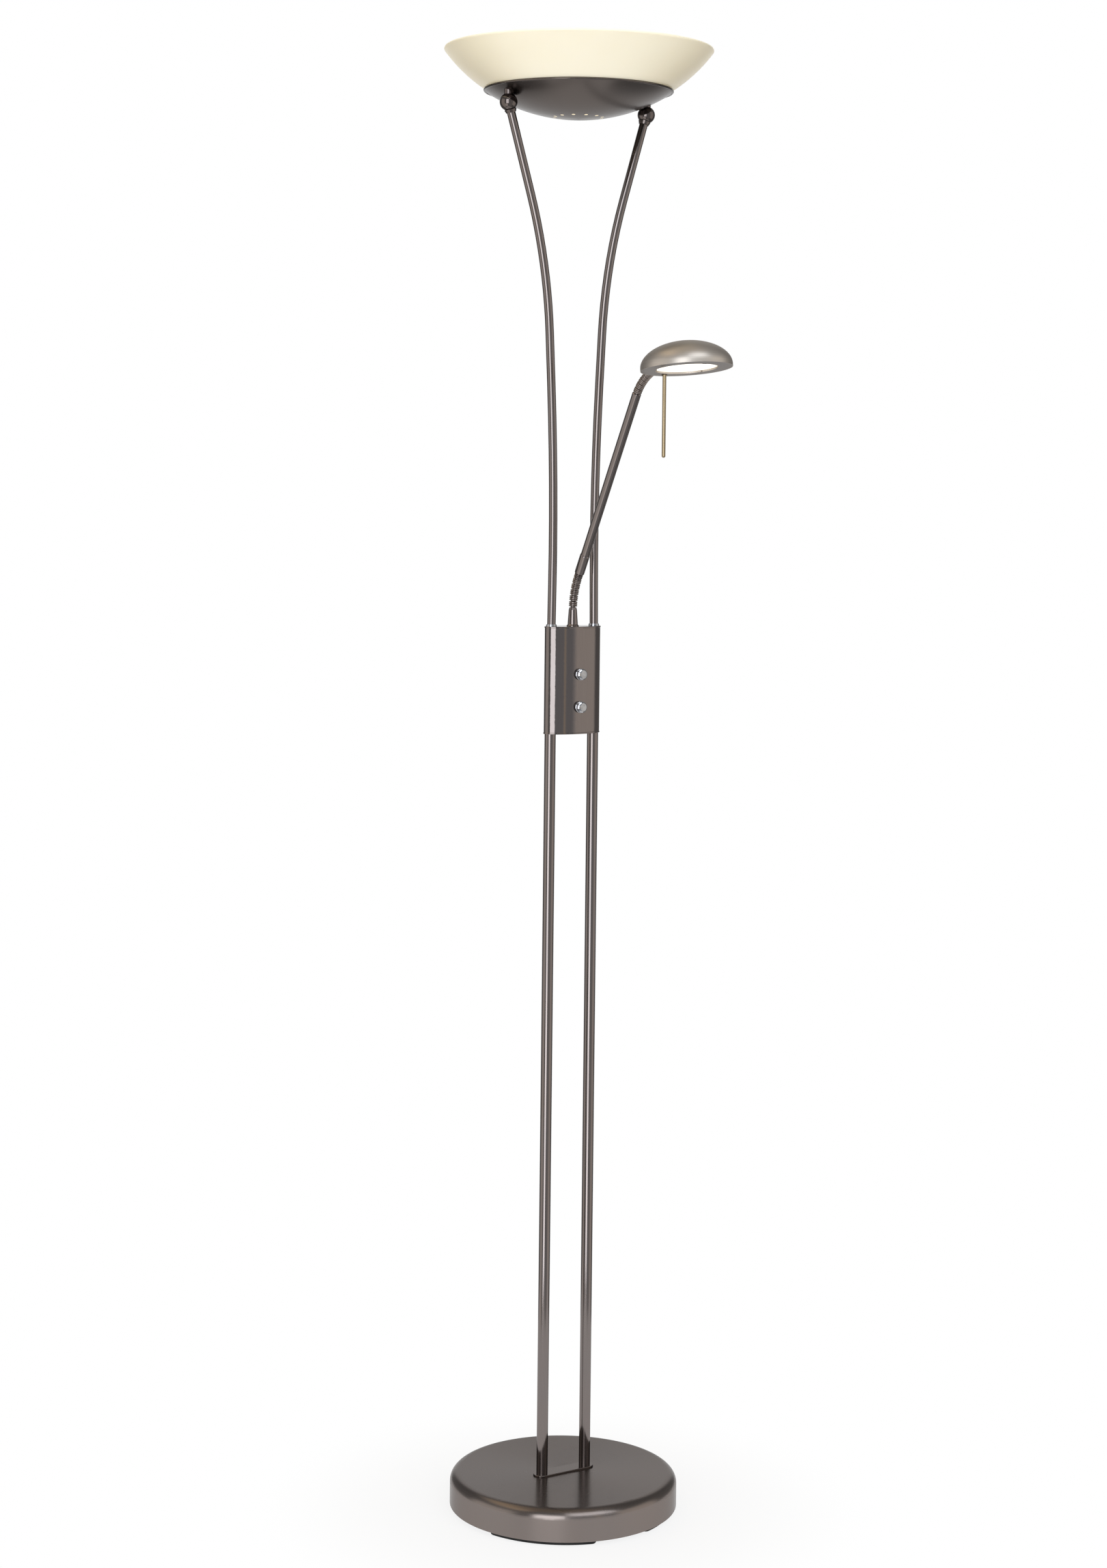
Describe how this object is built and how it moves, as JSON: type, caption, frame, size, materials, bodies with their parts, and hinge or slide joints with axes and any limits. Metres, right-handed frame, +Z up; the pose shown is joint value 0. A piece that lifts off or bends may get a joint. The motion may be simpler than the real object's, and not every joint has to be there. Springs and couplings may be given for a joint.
{
  "type": "torchiere floor lamp with reading light",
  "caption": "Floor lamp with a weighted round base, twin poles, an uplighting glass bowl in a metal dish and a reading light on a flexible-necked arm, each with a dimmer knob.",
  "frame": {"origin": "centre of the base on the floor plane", "axes": "+Z up along the poles; the poles stand in the XZ plane; the knobs and the reading arm face -Y"},
  "size_m": [0.3338, 0.4572, 1.8113],
  "materials": {
    "satin_metal": "satin, dark nickel plate with fine lengthwise brushing",
    "neck_metal": "satin dark nickel, ribbed",
    "head_metal": "satin nickel, spun",
    "bright_metal": "polished",
    "plated_steel": "zinc plated",
    "iron_weight": "rough casting",
    "base_sheet": "black paint",
    "reflector": "satin",
    "bowl_glass": "satin cream opal glass",
    "lamp_quartz": "clear quartz",
    "frosted_glass": "frosted",
    "ceramic": "unglazed, fine grained",
    "black_rubber": "matt",
    "black_plastic": "matt"
  },
  "bodies": {
    "stand": {"base_cover": "satin_metal", "base_weight": "iron_weight", "base_plate": "base_sheet", "base_feet": "black_rubber", "plate_screws": "plated_steel", "cord_bush": "black_rubber", "foot_plate": "satin_metal", "pole_screws": "plated_steel", "lower_pole_left": "satin_metal", "lower_pole_right": "satin_metal", "housing_shell": "satin_metal", "housing_cap_bottom": "satin_metal", "housing_cap_top": "satin_metal", "pole_collars": "bright_metal", "pole_nuts": "plated_steel", "lamp_nuts": "plated_steel", "terminal_block": "black_plastic", "dimmer_lower": "black_plastic", "dimmer_upper": "black_plastic", "dimmer_nuts": "plated_steel", "upper_pole_left": "satin_metal", "upper_pole_right": "satin_metal", "support_balls": "satin_metal", "ball_washers": "satin_metal", "dish_studs": "plated_steel", "dish": "satin_metal", "bowl_post": "plated_steel", "bowl_seat": "plated_steel", "bowl_gaskets": "black_rubber", "glass_bowl": "bowl_glass", "lamp_bracket": "plated_steel", "end_holders": "ceramic", "reflector_tray": "reflector", "halogen_tube": "lamp_quartz", "arm_ferrule": "satin_metal"},
    "knob_lower": {"knob_lower": "bright_metal"},
    "knob_upper": {"knob_upper": "bright_metal"},
    "lower_link_1": {"lower_neck_link_1": "neck_metal"},
    "lower_link_2": {"lower_neck_link_2": "neck_metal"},
    "lower_link_3": {"lower_neck_link_3": "neck_metal"},
    "lower_link_4": {"lower_neck_link_4": "neck_metal"},
    "lower_link_5": {"lower_neck_link_5": "neck_metal"},
    "reading_arm": {"arm_sleeve": "satin_metal", "arm_tube": "satin_metal"},
    "upper_link_1": {"upper_neck_link_1": "neck_metal"},
    "upper_link_2": {"upper_neck_link_2": "neck_metal"},
    "upper_link_3": {"upper_neck_link_3": "neck_metal"},
    "upper_link_4": {"upper_neck_link_4": "neck_metal"},
    "upper_link_5": {"upper_neck_link_5": "neck_metal"},
    "upper_link_6": {"upper_neck_link_6": "neck_metal"},
    "upper_link_7": {"upper_neck_link_7": "neck_metal"},
    "reading_head": {"head_coupling": "neck_metal", "head_nut": "plated_steel", "head_dome": "head_metal", "head_ring": "head_metal", "head_diffuser": "frosted_glass", "head_reflector": "reflector", "head_lampholder": "ceramic", "head_capsule": "lamp_quartz", "handle_rod": "head_metal"}
  },
  "joints": [
    {"name": "knob_lower_turn", "type": "hinge", "parent": "stand", "child": "knob_lower", "pos_m": [0, -0.018, 0.9975], "axis": [0, 1, 0], "range_deg": [0, 300]},
    {"name": "knob_upper_turn", "type": "hinge", "parent": "stand", "child": "knob_upper", "pos_m": [0, -0.018, 1.038], "axis": [0, 1, 0], "range_deg": [0, 300]},
    {"name": "lower_neck_bend_1", "type": "hinge", "parent": "stand", "child": "lower_link_1", "pos_m": [0, 0, 1.119], "axis": [1, 0, 0], "range_deg": [-4.67, 7]},
    {"name": "lower_neck_swing_1", "type": "hinge", "parent": "lower_link_1", "child": "lower_link_2", "pos_m": [0, -0.00063, 1.12647], "axis": [0, 0.9921, 0.1253], "range_deg": [-10, 10]},
    {"name": "lower_neck_bend_2", "type": "hinge", "parent": "lower_link_2", "child": "lower_link_3", "pos_m": [0, -0.00188, 1.13387], "axis": [1, 0, 0], "range_deg": [-4.67, 7]},
    {"name": "lower_neck_swing_2", "type": "hinge", "parent": "lower_link_3", "child": "lower_link_4", "pos_m": [0, -0.00374, 1.14113], "axis": [0, 0.9573, 0.289], "range_deg": [-10, 10]},
    {"name": "lower_neck_bend_3", "type": "hinge", "parent": "lower_link_4", "child": "lower_link_5", "pos_m": [0, -0.00621, 1.14822], "axis": [1, 0, 0], "range_deg": [-4.67, 7]},
    {"name": "lower_neck_swing_3", "type": "hinge", "parent": "lower_link_5", "child": "reading_arm", "pos_m": [0, -0.00926, 1.15507], "axis": [0, 0.8957, 0.4446], "range_deg": [-10, 10]},
    {"name": "upper_neck_bend_1", "type": "hinge", "parent": "reading_arm", "child": "upper_link_1", "pos_m": [0, -0.13403, 1.38203], "axis": [1, 0, 0], "range_deg": [-15, 5]},
    {"name": "upper_neck_swing_1", "type": "hinge", "parent": "upper_link_1", "child": "upper_link_2", "pos_m": [0, -0.13839, 1.38814], "axis": [0, 0.7786, 0.6275], "range_deg": [-10, 10]},
    {"name": "upper_neck_bend_2", "type": "hinge", "parent": "upper_link_2", "child": "upper_link_3", "pos_m": [0, -0.14343, 1.39369], "axis": [1, 0, 0], "range_deg": [-15, 5]},
    {"name": "upper_neck_swing_2", "type": "hinge", "parent": "upper_link_3", "child": "upper_link_4", "pos_m": [0, -0.14909, 1.39862], "axis": [0, 0.6116, 0.7912], "range_deg": [-10, 10]},
    {"name": "upper_neck_bend_3", "type": "hinge", "parent": "upper_link_4", "child": "upper_link_5", "pos_m": [0, -0.15528, 1.40285], "axis": [1, 0, 0], "range_deg": [-15, 5]},
    {"name": "upper_neck_swing_3", "type": "hinge", "parent": "upper_link_5", "child": "upper_link_6", "pos_m": [0, -0.16192, 1.40633], "axis": [0, 0.4112, 0.9115], "range_deg": [-10, 10]},
    {"name": "upper_neck_bend_4", "type": "hinge", "parent": "upper_link_6", "child": "upper_link_7", "pos_m": [0, -0.16893, 1.40901], "axis": [1, 0, 0], "range_deg": [-15, 5]},
    {"name": "upper_neck_swing_4", "type": "hinge", "parent": "upper_link_7", "child": "reading_head", "pos_m": [0, -0.1762, 1.41085], "axis": [0, 0.1883, 0.9821], "range_deg": [-10, 10]}
  ],
  "couplings": [
    {"joint": "lower_neck_bend_2", "follows": "lower_neck_bend_1", "ratio": 1},
    {"joint": "lower_neck_swing_2", "follows": "lower_neck_swing_1", "ratio": 1},
    {"joint": "lower_neck_bend_3", "follows": "lower_neck_bend_1", "ratio": 1},
    {"joint": "lower_neck_swing_3", "follows": "lower_neck_swing_1", "ratio": 1},
    {"joint": "upper_neck_bend_2", "follows": "upper_neck_bend_1", "ratio": 1},
    {"joint": "upper_neck_swing_2", "follows": "upper_neck_swing_1", "ratio": 1},
    {"joint": "upper_neck_bend_3", "follows": "upper_neck_bend_1", "ratio": 1},
    {"joint": "upper_neck_swing_3", "follows": "upper_neck_swing_1", "ratio": 1},
    {"joint": "upper_neck_bend_4", "follows": "upper_neck_bend_1", "ratio": 1},
    {"joint": "upper_neck_swing_4", "follows": "upper_neck_swing_1", "ratio": 1}
  ]
}
